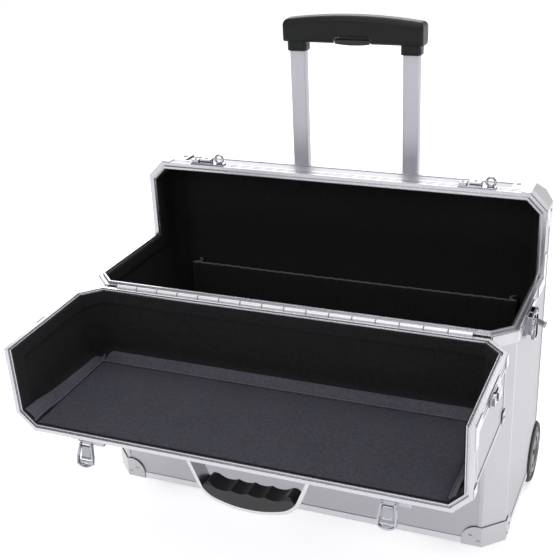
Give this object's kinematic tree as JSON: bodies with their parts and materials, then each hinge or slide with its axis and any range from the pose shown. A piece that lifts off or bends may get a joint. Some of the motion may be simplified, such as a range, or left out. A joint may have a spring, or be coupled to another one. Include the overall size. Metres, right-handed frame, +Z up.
{
  "type": "rolling business case",
  "caption": "Aluminium-framed rolling case with a front-hinged stepped lid, telescopic trolley handle, carry handle, draw latches and wheels.",
  "frame": {"origin": "on the floor, midway across and midway front to back of the open case's outer box", "axes": "+X to the case's right seen from the front, +Y to the back, +Z up"},
  "size_m": [0.518, 0.4092, 0.544],
  "materials": {
    "panel": "satin laminated sheet",
    "profile": "satin anodised extrusion",
    "rim": "bright anodised extrusion",
    "casting": "polished casting",
    "lining": "black woven lining",
    "binding": "ribbed edge binding",
    "pad": "charcoal padded cloth",
    "bracket": "satin pressed steel",
    "steel": "bright steel",
    "chrome": "polished chrome",
    "rubber": "matt black rubber",
    "black_plastic": "textured black moulding",
    "grip": "soft black moulding",
    "button": "dark moulding",
    "tube": "silver anodised tube",
    "band": "satin bent strip",
    "hub": "grey moulding",
    "tyre": "black tyre"
  },
  "bodies": {
    "base": {"base_panels": "panel", "base_edge_profiles": "profile", "base_bottom_strip": "profile", "base_rim": "rim", "base_rim_corners": "casting", "base_lining": "lining", "base_pocket": "lining", "pocket_binding": "binding", "bottom_brackets": "bracket", "back_brackets": "bracket", "base_rivets": "steel", "hinge_base_leaf": "rim", "hinge_pin": "steel", "hinge_stops": "rubber", "wheel_housings": "black_plastic", "axles": "steel", "front_feet": "rubber", "trolley_tray": "black_plastic", "trolley_bottom_bracket": "black_plastic", "trolley_outer_tubes": "tube", "trolley_collars": "black_plastic", "top_catches": "chrome", "top_rings": "chrome", "side_plates": "chrome"},
    "lid": {"lid_panels": "panel", "lid_edge_profiles": "profile", "lid_rim": "rim", "lid_rim_corners": "casting", "lid_brackets": "bracket", "lid_rivets": "steel", "lid_lining": "lining", "lid_floor_pad": "pad", "hinge_lid_leaf": "rim", "carry_mounts": "chrome", "carry_pins": "steel", "latch_plates": "chrome", "side_catches": "chrome"},
    "trolley_mid": {"trolley_mid_tubes": "tube", "trolley_mid_guides": "black_plastic"},
    "trolley_top": {"trolley_inner_tubes": "tube", "trolley_inner_guides": "black_plastic", "trolley_grip": "grip"},
    "trolley_release": {"trolley_button": "button"},
    "wheel_left": {"wheel_left_hub": "hub", "wheel_left_tyre": "tyre"},
    "wheel_right": {"wheel_right_hub": "hub", "wheel_right_tyre": "tyre"},
    "carry_handle": {"carry_band": "band", "carry_grip": "grip"},
    "key_lock_left": {"lock_left": "steel"},
    "key_lock_right": {"lock_right": "steel"},
    "latch_lever_left": {"lever_left": "chrome"},
    "latch_lever_right": {"lever_right": "chrome"},
    "latch_hook_left": {"hook_left": "steel"},
    "latch_hook_right": {"hook_right": "steel"},
    "side_latch_lever_left": {"side_lever_left": "chrome"},
    "side_latch_lever_right": {"side_lever_right": "chrome"},
    "side_latch_hook_left": {"side_hook_left": "steel"},
    "side_latch_hook_right": {"side_hook_right": "steel"}
  },
  "joints": [
    {"name": "lid_hinge", "type": "hinge", "parent": "base", "child": "lid", "pos_m": [0, -0.0443, 0.282], "axis": [-1, 0, 0], "range_deg": [0, 182]},
    {"name": "trolley_mid_slide", "type": "slide", "parent": "base", "child": "trolley_mid", "axis": [0, 0, 1], "range_m": [0, 0.23]},
    {"name": "trolley_top_slide", "type": "slide", "parent": "trolley_mid", "child": "trolley_top", "axis": [0, 0, 1], "range_m": [-0.15, 0.08]},
    {"name": "trolley_button_press", "type": "slide", "parent": "trolley_top", "child": "trolley_release", "axis": [0, 0, 1], "range_m": [0, 0.0035], "stiffness_N_per_m": 500, "springref_m": -0.004},
    {"name": "wheel_left_spin", "type": "hinge", "parent": "base", "child": "wheel_left", "pos_m": [-0.23, 0.1483, 0.038], "axis": [1, 0, 0], "continuous": true},
    {"name": "wheel_right_spin", "type": "hinge", "parent": "base", "child": "wheel_right", "pos_m": [0.23, 0.1483, 0.038], "axis": [1, 0, 0], "continuous": true},
    {"name": "carry_handle_swing", "type": "hinge", "parent": "lid", "child": "carry_handle", "pos_m": [0, -0.1502, 0.17424], "axis": [1, 0, 0], "range_deg": [-80, 80]},
    {"name": "key_left_turn", "type": "hinge", "parent": "lid", "child": "key_lock_left", "pos_m": [-0.1482, -0.18739, 0.17894], "axis": [0, 0.0349, -0.9994], "range_deg": [0, 90]},
    {"name": "key_right_turn", "type": "hinge", "parent": "lid", "child": "key_lock_right", "pos_m": [0.1778, -0.18739, 0.17894], "axis": [0, 0.0349, -0.9994], "range_deg": [0, 90]},
    {"name": "latch_left_swing", "type": "hinge", "parent": "lid", "child": "latch_lever_left", "pos_m": [-0.165, -0.19231, 0.17657], "axis": [1, 0, 0], "range_deg": [-25, 108]},
    {"name": "hook_left_swing", "type": "hinge", "parent": "latch_lever_left", "child": "latch_hook_left", "pos_m": [-0.165, -0.19452, 0.16888], "axis": [1, 0, 0], "range_deg": [-80, 0]},
    {"name": "latch_right_swing", "type": "hinge", "parent": "lid", "child": "latch_lever_right", "pos_m": [0.161, -0.19231, 0.17657], "axis": [1, 0, 0], "range_deg": [-25, 108]},
    {"name": "hook_right_swing", "type": "hinge", "parent": "latch_lever_right", "child": "latch_hook_right", "pos_m": [0.161, -0.19452, 0.16888], "axis": [1, 0, 0], "range_deg": [-80, 0]},
    {"name": "side_latch_left_swing", "type": "hinge", "parent": "base", "child": "side_latch_lever_left", "pos_m": [-0.2462, 0.0433, 0.273], "axis": [0, -1, 0], "range_deg": [-120, 0]},
    {"name": "side_hook_left_swing", "type": "hinge", "parent": "side_latch_lever_left", "child": "side_latch_hook_left", "pos_m": [-0.2462, 0.0433, 0.265], "axis": [0, -1, 0], "range_deg": [-10, 70]},
    {"name": "side_latch_right_swing", "type": "hinge", "parent": "base", "child": "side_latch_lever_right", "pos_m": [0.2462, 0.0433, 0.273], "axis": [0, 1, 0], "range_deg": [-120, 0]},
    {"name": "side_hook_right_swing", "type": "hinge", "parent": "side_latch_lever_right", "child": "side_latch_hook_right", "pos_m": [0.2462, 0.0433, 0.265], "axis": [0, 1, 0], "range_deg": [-10, 70]}
  ]
}
